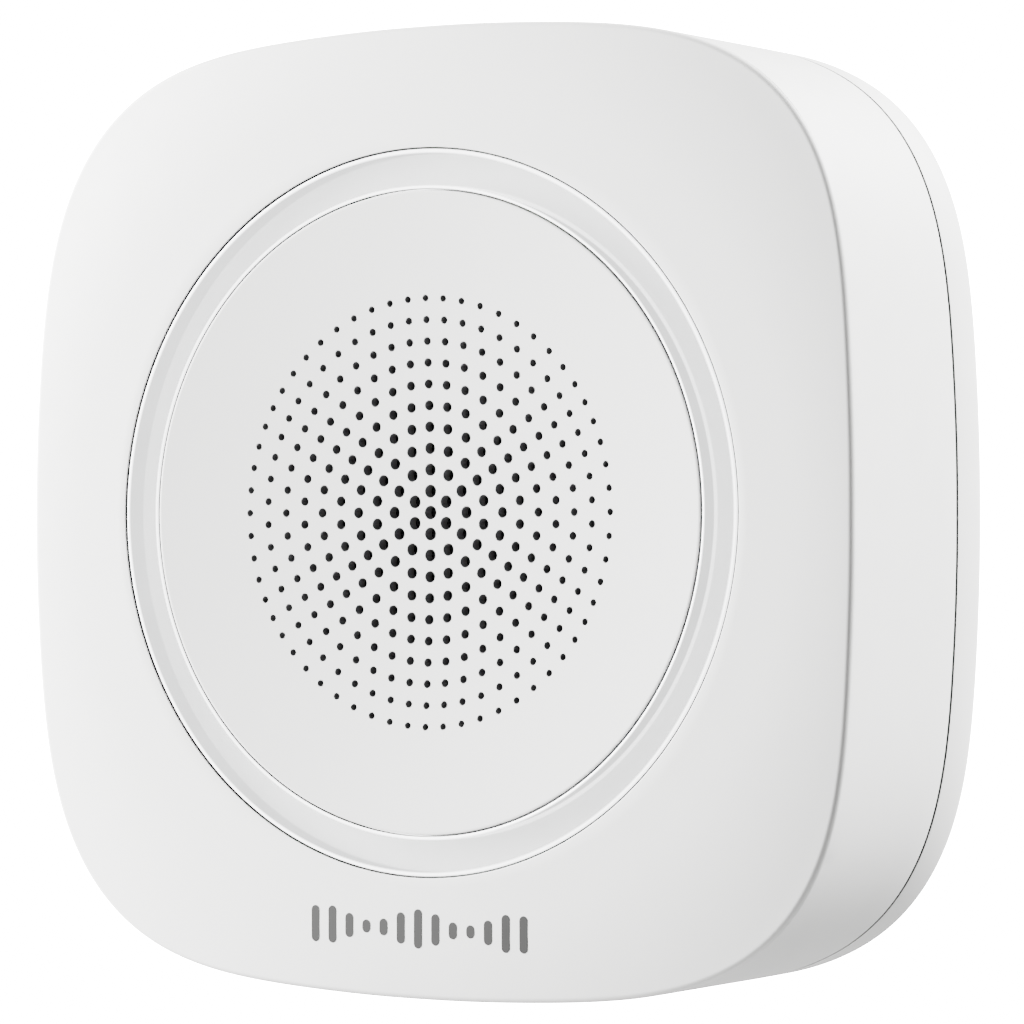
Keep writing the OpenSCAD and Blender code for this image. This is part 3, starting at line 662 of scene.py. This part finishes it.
def build_grille_disc(material, dark):
    """Dished disc with chamfered holes: front sheet, back sheet, hole walls in painted shade and
    the rim.
    """
    sides, chamfer, rim_sides = HOLE_SIDES, HOLE_CHAMFER, RIM_SIDES
    holes = hole_places()
    wide = [(x, z, r + chamfer) for x, z, r in holes]
    loose = [(27.4, 150), (29.8, 110), (32.2, 100), (34.6, 110), (36.3, 150)]
    verts, faces = [], []

    def add(points):
        start = len(verts)
        verts.extend(points)
        return start

    flat, kept, starts, lookup = perforated_sheet(wide, sides, [(DISH_R, rim_sides)], loose)
    front = add([(p[0], dish_y(math.hypot(p[0], p[1])), p[1]) for p in flat])
    faces += [tuple(front + i for i in f) for f in kept]
    back_r = SKIRT_INNER_R
    flat_b, kept_b, starts_b, lookup_b = perforated_sheet(holes, sides, [(back_r, rim_sides)],
                                                          [(28.5, 100), (32.0, 100)])
    back = add([(p[0], dish_y(math.hypot(p[0], p[1]), DISC_T), p[1]) for p in flat_b])
    faces += [tuple(back + i for i in reversed(f)) for f in kept_b]
    for index, (x, z, r) in enumerate(holes):
        angles = [2 * math.pi * i / sides for i in range(sides)]
        top_y = dish_y(math.hypot(x, z)) + chamfer
        neck = add([(x + r * math.cos(a), top_y, z + r * math.sin(a)) for a in angles])
        rim = [front + lookup[starts[index] + i] for i in range(sides)]
        low = [back + lookup_b[starts_b[index] + i] for i in range(sides)]
        for i in range(sides):
            j = (i + 1) % sides
            faces.append((rim[i], rim[j], neck + j, neck + i))
            faces.append((neck + i, neck + j, low[j], low[i]))
    rim_first = len(holes) * sides
    front_rim = [front + lookup[rim_first + i] for i in range(rim_sides)]
    back_rim = [back + lookup_b[rim_first + i] for i in range(rim_sides)]
    edge = 0.1
    profile = arc((DISC_R - edge, RIM_Y + edge), edge, -90, 0, 4)
    profile += [(DISC_R, SEAT_Y), (SKIRT_OUTER_R, SEAT_Y), (SKIRT_OUTER_R, SKIRT_BACK_Y),
                (back_r, SKIRT_BACK_Y)]
    rings = [front_rim]
    for r, y in profile:
        start = add([(x, y, z) for x, z in circle(0, 0, r, rim_sides)])
        rings.append([start + i for i in range(rim_sides)])
    for a, b in zip(rings, rings[1:] + [back_rim]):
        faces += [(a[i], a[(i + 1) % rim_sides], b[(i + 1) % rim_sides], b[i])
                  for i in range(rim_sides)]
    disc = boolean(solid_from(verts, faces), "UNION", join_meshes(grille_ears() + grille_tabs()))
    ear_holes = [rod(x, z, DISH_CENTRE_Y + 0.2, 0, EAR_PILOT_R)
                 for x, z in circle_places(3, EAR_CIRCLE_R, 90)]
    disc = boolean(disc, "DIFFERENCE", join_meshes(ear_holes))
    piece = finish_mesh("grille_dish", disc, "unit", "grille_disc", material=material,
                        slot="white_plastic", sharp_deg=22, second=(dark, in_grille_gap))
    smooth_dish(piece.data)


# ---- Light ring ----


def on_ring_wall(centre, normal):
    """The ring's upright walls beside the two gaps, painted in gap shadow."""
    return centre.y < SEAT_Y + 0.05 and abs(normal.y) < 0.3


def build_light_ring(material, shadow):
    """The clear ring, its rims rounded, with a flange behind the seats on both sides."""
    edge = 0.2
    flange_front, flange_back = SEAT_Y + 0.1, SEAT_Y + 1.8
    flange_outer_r, flange_inner_r = 44.0, 36.5
    segments = 360
    profile = arc((RING_INNER_R + edge, RIM_Y + edge), edge, 180, 270, 4)
    profile += [(RING_INNER_R + 1.3 * edge, RIM_Y - 0.003),
                (RING_OUTER_R - 1.3 * edge, RING_RIM_Y + 0.003)]
    profile += arc((RING_OUTER_R - edge, RING_RIM_Y + edge), edge, 270, 360, 4)
    profile += [(RING_OUTER_R, flange_front), (flange_outer_r, flange_front),
                (flange_outer_r, flange_back), (flange_inner_r, flange_back),
                (flange_inner_r, flange_front), (RING_INNER_R, flange_front)]
    verts, faces = turned_faces(profile, segments)
    return mesh_object("light_ring_lens", verts, faces, "unit", "light_ring", material=material,
                       slot="clear_plastic", sharp_deg=32, second=(shadow, on_ring_wall))


# ---- Printed mark: a plain row of bars, like a sound level ----


def build_mark(material):
    """Thin rounded bars low on the front, on the dome's surface."""
    centre_z, width, height = -48.4, 30.0, 4.6
    count, bar_w = 13, 1.15
    verts, faces = [], []
    thickness, sink = 0.018, 0.3
    for i in range(count):
        x = (i - (count - 1) / 2) * (width - bar_w) / (count - 1)
        wave = 0.5 + 0.5 * math.cos(2.2 * math.pi * (i - (count - 1) / 2) / (count - 1) * 2)
        bar_h = height * (0.32 + 0.68 * wave)
        r = bar_w / 2
        shape = arc((x, centre_z + bar_h / 2 - r), r, 0, 180, 10)
        shape += arc((x, centre_z - bar_h / 2 + r), r, 180, 360, 10)
        n, start = len(shape), len(verts)
        verts += [(px, dome_y(math.hypot(px, pz)) - thickness, pz) for px, pz in shape]
        verts += [(px, dome_y(math.hypot(px, pz)) + sink, pz) for px, pz in shape]
        faces += [(start + k, start + (k + 1) % n, start + n + (k + 1) % n, start + n + k)
                  for k in range(n)]
        faces.append(tuple(start + k for k in range(n)))
        faces.append(tuple(start + n + k for k in reversed(range(n))))
    return mesh_object("printed_bars", verts, faces, "unit", material=material, slot="grey_plastic")


# ---- Materials ----


class Shader:
    """Short calls for building a Principled material from nodes."""

    def __init__(self, name, base, roughness, metallic=0.0, specular=0.5, coat=0.0, ior=1.5):
        self.material = bpy.data.materials.new(name)
        self.material.use_nodes = True
        self.tree = self.material.node_tree
        self.bsdf = self.tree.nodes["Principled BSDF"]
        self.set("Base Color", (*base[:3], 1))
        self.set("Roughness", roughness)
        self.set("Metallic", metallic)
        self.set("Specular IOR Level", specular)
        self.set("Coat Weight", coat)
        self.set("IOR", ior)
        self.coords = self.node("ShaderNodeTexCoord").outputs["Object"]

    def node(self, kind, **values):
        made = self.tree.nodes.new(kind)
        for key, value in values.items():
            setattr(made, key, value)
        return made

    def set(self, socket, value):
        self.bsdf.inputs[socket].default_value = value

    def link(self, a, b):
        self.tree.links.new(a, b)

    def noise(self, scale, detail=3.0, roughness=0.5):
        made = self.node("ShaderNodeTexNoise")
        made.inputs["Scale"].default_value = scale
        made.inputs["Detail"].default_value = detail
        made.inputs["Roughness"].default_value = roughness
        self.link(self.coords, made.inputs["Vector"])
        return made.outputs["Fac"]

    def ramp(self, source, stops):
        """A colour or value for each stop: (position, value or colour)."""
        made = self.node("ShaderNodeValToRGB")
        elements = made.color_ramp.elements
        while len(elements) < len(stops):
            elements.new(0.5)
        for element, (position, value) in zip(elements, stops):
            element.position = position
            colour = value if hasattr(value, "__len__") else (value, value, value)
            element.color = (*colour[:3], 1)
        self.link(source, made.inputs["Fac"])
        return made.outputs["Color"]

    def bump(self, height, strength, distance):
        made = self.node("ShaderNodeBump")
        made.inputs["Strength"].default_value = strength
        made.inputs["Distance"].default_value = distance
        self.link(height, made.inputs["Height"])
        self.link(made.outputs["Normal"], self.bsdf.inputs["Normal"])


def shade(colour, factor):
    """A colour made lighter or darker."""
    return tuple(min(1.0, c * factor) for c in colour[:3])


def moulded_plastic(name, base, roughness=0.42, variation=0.02, texture=0.25, specular=0.45):
    """Moulded plastic: faint cloudy colour, fine spark-eroded grain, uneven gloss."""
    s = Shader(name, base, roughness, specular=specular)
    stops = [(0.35, shade(base, 1 - variation)), (0.65, shade(base, 1 + variation))]
    s.link(s.ramp(s.noise(38, 4), stops), s.bsdf.inputs["Base Color"])
    s.link(s.ramp(s.noise(210, 3), [(0.3, roughness * 0.9), (0.7, min(1.0, roughness * 1.12))]),
           s.bsdf.inputs["Roughness"])
    s.bump(s.noise(5200, 2), texture, 0.00002)
    return s.material


# Base colour of each material slot in the record
COLOURS = {m["slot"]: m["base_color"] for m in record["materials"]}


def white_plastic():
    return moulded_plastic("white_plastic", COLOURS["white_plastic"], 0.5, 0.006, 0.12, 0.4)


def axis_radius(s):
    """How far a place lies from the Y axis, in metres."""
    flat = s.node("ShaderNodeVectorMath", operation="MULTIPLY")
    flat.inputs[1].default_value = (1, 0, 1)
    s.link(s.coords, flat.inputs[0])
    length = s.node("ShaderNodeVectorMath", operation="LENGTH")
    s.link(flat.outputs["Vector"], length.inputs[0])
    return length.outputs["Value"]


def near_radius(s, radius_mm, half_width_mm):
    """A mask that is 1 near a radius from the Y axis, fading out to 0."""
    mask = s.node("ShaderNodeMapRange", interpolation_type="SMOOTHSTEP")
    away = s.node("ShaderNodeMath", operation="SUBTRACT")
    away.inputs[1].default_value = radius_mm * MM
    s.link(axis_radius(s), away.inputs[0])
    distance = s.node("ShaderNodeMath", operation="ABSOLUTE")
    s.link(away.outputs["Value"], distance.inputs[0])
    for key, value in (("From Min", half_width_mm * MM), ("From Max", half_width_mm * MM * 0.5),
                       ("To Min", 0.0), ("To Max", 1.0)):
        mask.inputs[key].default_value = value
    s.link(distance.outputs["Value"], mask.inputs["Value"])
    return mask.outputs["Result"]


def highest(s, a, b):
    """The larger of two values."""
    made = s.node("ShaderNodeMath", operation="MAXIMUM")
    s.link(a, made.inputs[0])
    s.link(b, made.inputs[1])
    return made.outputs["Value"]


def ramp_along_y(s, start_y, end_y):
    """A mask that is 1 in front of a depth and fades to 0 behind another, both in millimetres."""
    parts = s.node("ShaderNodeSeparateXYZ")
    s.link(s.coords, parts.inputs["Vector"])
    mask = s.node("ShaderNodeMapRange")
    for key, value in (("From Min", end_y * MM), ("From Max", start_y * MM)):
        mask.inputs[key].default_value = value
    s.link(parts.outputs["Y"], mask.inputs["Value"])
    return mask.outputs["Result"]


def between(s, mask, low, high):
    """A value that goes from low to high as the mask goes from 0 to 1.

    Each end is a number or an output."""
    made = s.node("ShaderNodeMapRange")
    s.link(mask, made.inputs["Value"])
    for key, end in (("To Min", low), ("To Max", high)):
        if hasattr(end, "is_linked"):
            s.link(end, made.inputs[key])
        else:
            made.inputs[key].default_value = end
    return made.outputs["Result"]


def clear_plastic():
    """Clear plastic with a faint haze in front; its front rims carry a painted highlight, a white
    emission with near-opaque alpha that stands in for light on the rounded edges.
    """
    s = Shader("clear_plastic", (0.93, 0.94, 0.94), 0.12, specular=0.9, ior=1.49)
    front = ramp_along_y(s, SEAT_Y - 0.1, SEAT_Y)
    # Painted highlight: the front rims get a white emission and a near-opaque alpha that stand in
    # for light caught by their rounded edges.
    rims = highest(s, near_radius(s, RING_OUTER_R, 0.6), near_radius(s, RING_INNER_R, 0.45))
    glow = between(s, front, 0.0, rims)
    haze = s.ramp(s.noise(140, 3), [(0.3, 0.49), (0.7, 0.53)])
    s.link(between(s, glow, between(s, front, 0.06, haze), 0.92), s.bsdf.inputs["Alpha"])
    s.set("Emission Color", (1, 1, 1, 1))
    s.link(between(s, glow, 0.0, 4.2), s.bsdf.inputs["Emission Strength"])
    s.link(s.ramp(s.noise(160, 3), [(0.3, 0.08), (0.7, 0.16)]), s.bsdf.inputs["Roughness"])
    s.bump(s.noise(90, 2), 0.03, 0.0001)
    return s.material


def radial_ramp(s, start_mm, end_mm, stops):
    """Colours by radius from the Y axis. stops: (radius in millimetres, value)."""
    share = s.node("ShaderNodeMapRange")
    share.inputs["From Min"].default_value = start_mm * MM
    share.inputs["From Max"].default_value = end_mm * MM
    s.link(axis_radius(s), share.inputs["Value"])
    span = end_mm - start_mm
    return s.ramp(share.outputs["Result"], [((r - start_mm) / span, v) for r, v in stops])


def diffuser_plastic():
    """Milky plastic under the lens, with painted shade and painted light: nearly black beside the
    seats where they shade it, a bright painted line by the inner seat and a faint painted glow
    elsewhere.
    """
    base = COLOURS["diffuser_plastic"]
    # Painted shade: the diffuser is nearly black where the seats shade it.
    dark = shade(base, 0.04)
    s = Shader("diffuser_plastic", base, 0.6)
    inner, outer = RING_INNER_R + 0.06, RING_OUTER_R - 0.35
    start, end = 36.0, 44.5
    painted_seat_shade = radial_ramp(s, start, end, [(inner - 0.05, dark), (inner + 0.05, base),
                                       (outer - 0.1, base), (outer + 0.1, dark)])
    cloud = s.ramp(s.noise(38, 4), [(0.35, 0.97), (0.65, 1.0)])
    mixed = s.node("ShaderNodeVectorMath", operation="MULTIPLY")
    s.link(painted_seat_shade, mixed.inputs[0])
    s.link(cloud, mixed.inputs[1])
    s.link(mixed.outputs["Vector"], s.bsdf.inputs["Base Color"])
    # Painted light: an emission makes a bright line by the inner seat and a faint glow elsewhere,
    # though the lamps are off.
    glow = radial_ramp(s, start, end, [(inner - 0.05, 0.0), (inner + 0.05, 1.0), (inner + 0.4, 1.0),
                                       (inner + 0.5, 0.2), (outer - 0.1, 0.2), (outer + 0.1, 0.0)])
    s.link(glow, s.bsdf.inputs["Emission Color"])
    s.set("Emission Strength", 3.0)
    s.link(s.ramp(s.noise(210, 3), [(0.3, 0.55), (0.7, 0.66)]), s.bsdf.inputs["Roughness"])
    s.bump(s.noise(5200, 2), 0.1, 0.00002)
    return s.material


def metal(name, base, roughness):
    """Plated or bare metal with faint stains and fine grain."""
    streaks = 900.0
    s = Shader(name, base, roughness, metallic=1.0)
    s.link(s.ramp(s.noise(90, 4), [(0.3, shade(base, 0.86)), (0.7, shade(base, 1.06))]),
           s.bsdf.inputs["Base Color"])
    s.link(s.ramp(s.noise(streaks, 3), [(0.3, roughness * 0.75), (0.7, min(1.0, roughness * 1.3))]),
           s.bsdf.inputs["Roughness"])
    s.bump(s.noise(streaks * 2, 2), 0.15, 0.00003)
    return s.material


def circuit_board(name, base, trace):
    """Solder resist with tracks that show through."""
    s = Shader(name, base, 0.3, coat=0.3)
    brick = s.node("ShaderNodeTexBrick")
    for key, value in (("Scale", 150.0), ("Mortar Size", 0.035), ("Brick Width", 1.1),
                       ("Row Height", 0.45)):
        brick.inputs[key].default_value = value
    brick.offset = 0.37
    brick.squash = 1.4
    mapping = s.node("ShaderNodeMapping")
    mapping.inputs["Rotation"].default_value = (math.pi / 2, 0, 0)
    s.link(s.coords, mapping.inputs["Vector"])
    s.link(mapping.outputs["Vector"], brick.inputs["Vector"])
    brick.inputs["Color1"].default_value = (*shade(base, 0.92), 1)
    brick.inputs["Color2"].default_value = (*shade(base, 1.08), 1)
    brick.inputs["Mortar"].default_value = (*trace, 1)
    s.link(brick.outputs["Color"], s.bsdf.inputs["Base Color"])
    s.link(s.ramp(s.noise(300, 3), [(0.3, 0.22), (0.7, 0.42)]), s.bsdf.inputs["Roughness"])
    s.bump(brick.outputs["Fac"], 0.3, 0.00003)
    return s.material


def soft_sleeve(name, base):
    """Vinyl or shrink sleeve: glossy, slightly uneven."""
    s = Shader(name, base, 0.3, coat=0.2)
    s.link(s.ramp(s.noise(120, 4), [(0.3, shade(base, 0.94)), (0.7, shade(base, 1.06))]),
           s.bsdf.inputs["Base Color"])
    s.link(s.ramp(s.noise(260, 3), [(0.3, 0.3), (0.7, 0.4)]), s.bsdf.inputs["Roughness"])
    s.bump(s.noise(180, 2), 0.05, 0.00005)
    return s.material


def foam(name, base):
    """Open-celled foam."""
    s = Shader(name, base, 0.95, specular=0.2)
    cells = s.node("ShaderNodeTexVoronoi")
    cells.inputs["Scale"].default_value = 2600
    s.link(s.coords, cells.inputs["Vector"])
    s.link(s.ramp(cells.outputs["Distance"], [(0.0, shade(base, 0.5)), (0.5, shade(base, 1.4))]),
           s.bsdf.inputs["Base Color"])
    s.link(s.ramp(s.noise(500, 2), [(0.3, 0.88), (0.7, 1.0)]), s.bsdf.inputs["Roughness"])
    s.bump(cells.outputs["Distance"], 0.5, 0.0001)
    return s.material


def woven_mesh(name, base):
    """Cloth with threads across X and Z."""
    s = Shader(name, base, 0.8, specular=0.3)
    waves = []
    for axis in ("X", "Z"):
        wave = s.node("ShaderNodeTexWave", wave_type="BANDS", bands_direction=axis)
        wave.inputs["Scale"].default_value = 800
        s.link(s.coords, wave.inputs["Vector"])
        waves.append(wave.outputs["Fac"])
    threads = highest(s, *waves)
    s.link(s.ramp(threads, [(0.4, shade(base, 0.3)), (0.9, shade(base, 1.5))]),
           s.bsdf.inputs["Base Color"])
    s.link(s.ramp(s.noise(400, 2), [(0.3, 0.7), (0.7, 0.9)]), s.bsdf.inputs["Roughness"])
    s.bump(threads, 0.6, 0.00005)
    return s.material


def ink():
    return moulded_plastic("ink", (0.026, 0.0256, 0.025), 0.55, 0.05, 0.1, 0.25)


MATERIALS = {
    "white_plastic": white_plastic(),
    "clear_plastic": clear_plastic(),
    # Painted shadow for the narrow gaps round the light ring and behind the seam.
    "gap_shadow": moulded_plastic("gap_shadow", (0.045, 0.045, 0.046), 0.5, 0.15, 0.2, 0.3),
    # A darker copy of the white plastic for the grille: painted shade for the dished disc.
    "grille_white_painted_shade": moulded_plastic("grille_white_painted_shade", shade(COLOURS["white_plastic"], 0.89), 0.5,
                                      0.006, 0.12, 0.4),
    # Painted shade for the bores of the sound holes and the disc's edge.
    "bore_shade": moulded_plastic("bore_shade", (0.18, 0.18, 0.182), 0.5, 0.1, 0.2, 0.3),
    "diffuser_plastic": diffuser_plastic(),
    "chassis_plastic": moulded_plastic("chassis_plastic", COLOURS["chassis_plastic"], 0.48, 0.02,
                                       0.3),
    "white_board": circuit_board("white_board", COLOURS["white_board"], (0.78, 0.79, 0.77)),
    "green_board": circuit_board("green_board", COLOURS["green_board"], (0.12, 0.38, 0.2)),
    "led_package": moulded_plastic("led_package", COLOURS["led_package"], 0.2, 0.05, 0.05),
    "black_plastic": moulded_plastic("black_plastic", COLOURS["black_plastic"], 0.45, 0.12, 0.3),
    "grey_plastic": moulded_plastic("grey_plastic", COLOURS["grey_plastic"], 0.45, 0.06, 0.3),
    "mesh_cloth": woven_mesh("mesh_cloth", COLOURS["mesh_cloth"]),
    "foam": foam("foam", COLOURS["foam"]),
    "brass": metal("brass", COLOURS["brass"], 0.28),
    "ceramic": moulded_plastic("ceramic", COLOURS["ceramic"], 0.35, 0.05, 0.2),
    "steel": metal("steel", COLOURS["steel"], 0.3),
    "ferrite": moulded_plastic("ferrite", COLOURS["ferrite"], 0.6, 0.15, 0.5),
    "capacitor_sleeve": soft_sleeve("capacitor_sleeve", COLOURS["capacitor_sleeve"]),
    "chip_ceramic": moulded_plastic("chip_ceramic", COLOURS["chip_ceramic"], 0.5, 0.12, 0.3),
    "cell_sleeve": soft_sleeve("cell_sleeve", COLOURS["cell_sleeve"]),
    "ivory_plastic": moulded_plastic("ivory_plastic", COLOURS["ivory_plastic"], 0.4, 0.03, 0.2),
    "red_wire": soft_sleeve("red_wire", COLOURS["red_wire"]),
    "black_wire": soft_sleeve("black_wire", COLOURS["black_wire"]),
}


def paint_cad_nodes():
    """Gives each carried-over CAD node the material of its slot."""
    for part in record["subparts"]:
        node = frame["nodes"][part["node"]]
        node.data.materials.clear()
        node.data.materials.append(MATERIALS[part["material_slot"]])


# ---- Build ----

paint_cad_nodes()
build_front_cover(MATERIALS["white_plastic"], MATERIALS["gap_shadow"])
build_wall_plate(MATERIALS["white_plastic"], MATERIALS["gap_shadow"])
build_grille_disc(MATERIALS["grille_white_painted_shade"], MATERIALS["bore_shade"])
build_light_ring(MATERIALS["clear_plastic"], MATERIALS["gap_shadow"])
build_mark(ink())


# ---- Stage, light and camera ----


# Strength of the surroundings as light, and as the background that the camera sees
AMBIENT = 0.2
BACKDROP = 40.0
FLOOR_Z, FLOOR_HALF = -0.85, 0.7


def stage_material():
    s = Shader("stage_white", (0.86, 0.86, 0.86), 0.9, specular=0.1)
    s.link(s.ramp(s.noise(3, 2), [(0.3, (0.85, 0.85, 0.85)), (0.7, (0.88, 0.88, 0.88))]),
           s.bsdf.inputs["Base Color"])
    return s.material


def build_stage():
    """A pale floor well below the siren, as under a wall."""
    mesh = bpy.data.meshes.new("floor")
    signs = ((-1, -1), (1, -1), (1, 1), (-1, 1))
    corners = [(x * FLOOR_HALF, y * FLOOR_HALF, FLOOR_Z) for x, y in signs]
    mesh.from_pydata(corners, [], [(0, 1, 2, 3)])
    mesh.materials.append(stage_material())
    floor = bpy.data.objects.new("floor", mesh)
    bpy.context.scene.collection.objects.link(floor)


def area_light(name, direction, distance, size, power):
    """A square softbox that faces the siren from a direction."""
    target = (0, -0.017, 0)
    data = bpy.data.lights.new(name, "AREA")
    data.shape = "SQUARE"
    data.size = size
    data.energy = power
    light = bpy.data.objects.new(name, data)
    way = Vector(direction).normalized()
    light.location = Vector(target) + way * distance
    light.rotation_euler = (-way).to_track_quat("-Z", "Y").to_euler()
    bpy.context.scene.collection.objects.link(light)


def build_lights():
    """White surroundings that light little, a softbox on the left and one behind on the right."""
    world = bpy.data.worlds.new("world")
    bpy.context.scene.world = world
    world.use_nodes = True
    tree = world.node_tree
    background = tree.nodes["Background"]
    background.inputs["Color"].default_value = (1, 1, 1, 1)
    seen = tree.nodes.new("ShaderNodeLightPath")
    strength = tree.nodes.new("ShaderNodeMapRange")
    strength.inputs["To Min"].default_value = AMBIENT
    strength.inputs["To Max"].default_value = BACKDROP
    tree.links.new(seen.outputs["Is Camera Ray"], strength.inputs["Value"])
    tree.links.new(strength.outputs["Result"], background.inputs["Strength"])
    area_light("key_left", (-0.90, -0.38, 0.22), 0.47, 0.34, 26)
    area_light("side_right", (0.60, 0.56, 0.70), 0.9, 0.5, 66)


YAW, PITCH = math.radians(31.894), math.radians(-0.362)
# From the centre hole, in hole pitches
CAMERA_DISTANCE, CAMERA_SHIFT_X, CAMERA_SHIFT_Z = 200.71, 3.803, 0.027
# Focal length as a share of the picture's width
FOCAL_RATIO = 4295.5 / 1024
SENSOR = 36.0


def build_camera():
    """The camera stands where the grille's holes say, in hole pitches from the centre hole."""
    level = math.cos(PITCH)
    back = Vector((math.sin(YAW) * level, -math.cos(YAW) * level, math.sin(PITCH)))
    right = Vector((math.cos(YAW), math.sin(YAW), 0))
    up = back.cross(right)
    offset = back * CAMERA_DISTANCE + right * CAMERA_SHIFT_X + up * CAMERA_SHIFT_Z
    data = bpy.data.cameras.new("camera")
    data.sensor_width = SENSOR
    data.lens = FOCAL_RATIO * SENSOR
    data.clip_start, data.clip_end = 0.01, 20
    camera = bpy.data.objects.new("camera", data)
    camera.location = mm((0, DISH_CENTRE_Y, 0)) + offset * HOLE_PITCH * MM
    camera.rotation_euler = (-back).to_track_quat("-Z", "Y").to_euler()
    bpy.context.scene.collection.objects.link(camera)
    bpy.context.scene.camera = camera


build_stage()
build_lights()
build_camera()
